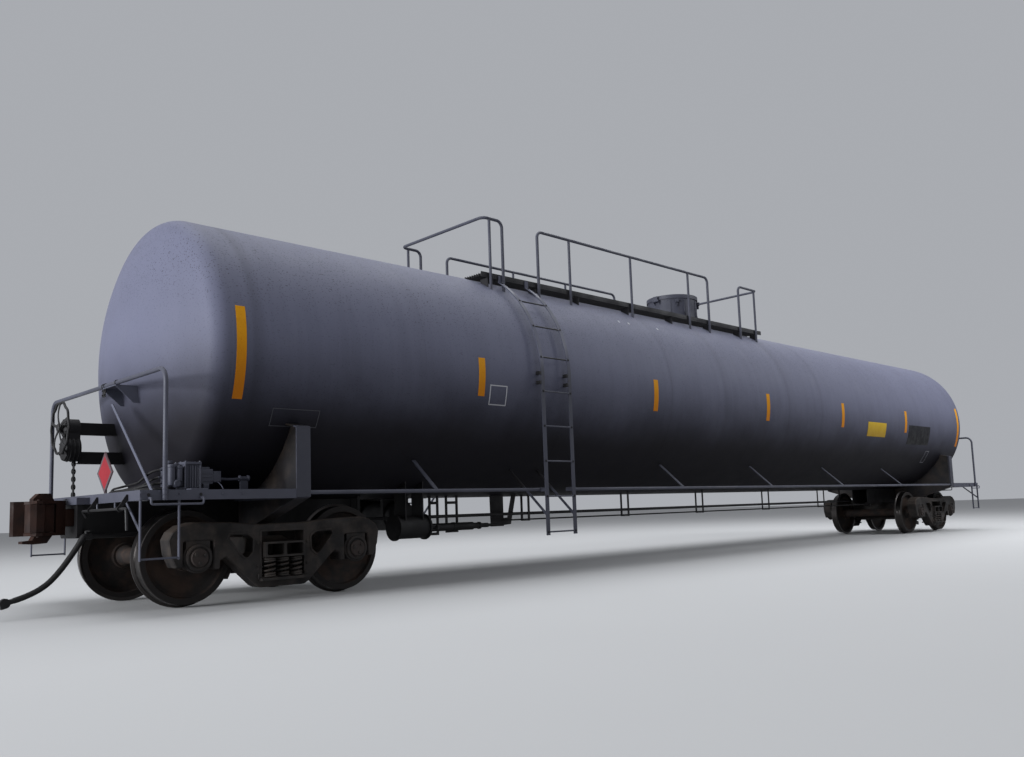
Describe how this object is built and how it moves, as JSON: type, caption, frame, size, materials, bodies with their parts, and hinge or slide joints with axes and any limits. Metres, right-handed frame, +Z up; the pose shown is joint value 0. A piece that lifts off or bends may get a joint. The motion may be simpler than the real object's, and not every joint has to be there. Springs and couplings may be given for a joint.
{
  "type": "railway tank car",
  "caption": "Long cylindrical pressure tank car on two-axle trucks, with stub sills, end platforms, top running boards, railings and a protective housing.",
  "frame": {"origin": "floor under the middle of the car, at the height of the wheel flanges' tips", "axes": "+X along the car away from the hand brake end, +Y across the car, +Z up"},
  "size_m": [21.7334, 3.185, 4.7162],
  "materials": {
    "tank_paint": "weathered matt grey paint with fine dirt and rust runs",
    "grey_steel": "weathered grey paint on plate and pipe",
    "black_steel": "dull black paint with brown dust",
    "cast_steel": "brown oxidised cast steel",
    "wheel_steel": "rusty wheel steel with a bright tread",
    "grating": "dark serrated grating",
    "hose_rubber": "dull black rubber",
    "placard_plate": "blank plate, grey paint"
  },
  "bodies": {
    "car_body": {"air_hose_a": "hose_rubber", "air_hose_b": "hose_rubber", "air_reservoir": "black_steel", "angle_cocks": "cast_steel", "body_bolsters": "grey_steel", "brake_cylinder": "black_steel", "brake_pipe": "black_steel", "brake_rigging": "black_steel", "control_valve": "black_steel", "dome_valves": "black_steel", "draft_gears": "black_steel", "end_platforms": "grey_steel", "end_railings": "grey_steel", "glad_hands": "cast_steel", "grab_irons": "grey_steel", "hand_brake_housing": "black_steel", "hand_brake_wheel": "black_steel", "handrail_struts": "grey_steel", "manway_cover": "grey_steel", "pipe_hangers": "black_steel", "placard_holders": "placard_plate", "protective_housing": "grey_steel", "railing_brace": "black_steel", "reservoir_straps": "black_steel", "running_boards": "grating", "side_handrails": "grey_steel", "side_ladders": "grey_steel", "sill_steps": "grey_steel", "stub_sills": "black_steel", "tank": "tank_paint", "top_railings": "grey_steel", "uncoupling_levers": "black_steel"},
    "truck_b": {"side_frames_b": "cast_steel", "truck_springs_b": "cast_steel", "truck_bolster_b": "cast_steel", "brake_beams_b": "cast_steel", "bearings_b": "cast_steel"},
    "truck_a": {"side_frames_a": "cast_steel", "truck_springs_a": "cast_steel", "truck_bolster_a": "cast_steel", "brake_beams_a": "cast_steel", "bearings_a": "cast_steel"},
    "coupler_body_b": {"coupler_b": "cast_steel"},
    "coupler_body_a": {"coupler_a": "cast_steel"},
    "knuckle_body_b": {"knuckle_b": "cast_steel"},
    "knuckle_body_a": {"knuckle_a": "cast_steel"},
    "lid": {"housing_lid": "grey_steel"},
    "wheelset_1": {"axle_1": "wheel_steel", "wheels_1": "wheel_steel"},
    "wheelset_2": {"axle_2": "wheel_steel", "wheels_2": "wheel_steel"},
    "wheelset_3": {"axle_3": "wheel_steel", "wheels_3": "wheel_steel"},
    "wheelset_4": {"axle_4": "wheel_steel", "wheels_4": "wheel_steel"}
  },
  "joints": [
    {"name": "truck_b_swivel", "type": "hinge", "parent": "car_body", "child": "truck_b", "pos_m": [-8.5, 0, 0.6734], "axis": [0, 0, 1], "range_deg": [-8, 8]},
    {"name": "truck_a_swivel", "type": "hinge", "parent": "car_body", "child": "truck_a", "pos_m": [8.5, 0, 0.6734], "axis": [0, 0, 1], "range_deg": [-8, 8]},
    {"name": "wheelset_1_roll", "type": "hinge", "parent": "truck_b", "child": "wheelset_1", "pos_m": [-9.389, 0, 0.4826], "axis": [0, 1, 0], "continuous": true},
    {"name": "wheelset_2_roll", "type": "hinge", "parent": "truck_b", "child": "wheelset_2", "pos_m": [-7.611, 0, 0.4826], "axis": [0, 1, 0], "continuous": true},
    {"name": "wheelset_3_roll", "type": "hinge", "parent": "truck_a", "child": "wheelset_3", "pos_m": [7.611, 0, 0.4826], "axis": [0, 1, 0], "continuous": true},
    {"name": "wheelset_4_roll", "type": "hinge", "parent": "truck_a", "child": "wheelset_4", "pos_m": [9.389, 0, 0.4826], "axis": [0, 1, 0], "continuous": true},
    {"name": "coupler_b_swing", "type": "hinge", "parent": "car_body", "child": "coupler_body_b", "pos_m": [-9.62, 0, 0.9014], "axis": [0, 0, 1], "range_deg": [-7, 7]},
    {"name": "knuckle_b_open", "type": "hinge", "parent": "coupler_body_b", "child": "knuckle_body_b", "pos_m": [-10.505, -0.13, 0.9014], "axis": [0, 0, 1], "range_deg": [0, 40]},
    {"name": "coupler_a_swing", "type": "hinge", "parent": "car_body", "child": "coupler_body_a", "pos_m": [9.62, 0, 0.9014], "axis": [0, 0, 1], "range_deg": [-7, 7]},
    {"name": "knuckle_a_open", "type": "hinge", "parent": "coupler_body_a", "child": "knuckle_body_a", "pos_m": [10.505, 0.13, 0.9014], "axis": [0, 0, 1], "range_deg": [0, 40]},
    {"name": "lid_hinge", "type": "hinge", "parent": "car_body", "child": "lid", "pos_m": [-0.48, 0, 4.4154], "axis": [0, -1, 0], "range_deg": [0, 105]}
  ]
}
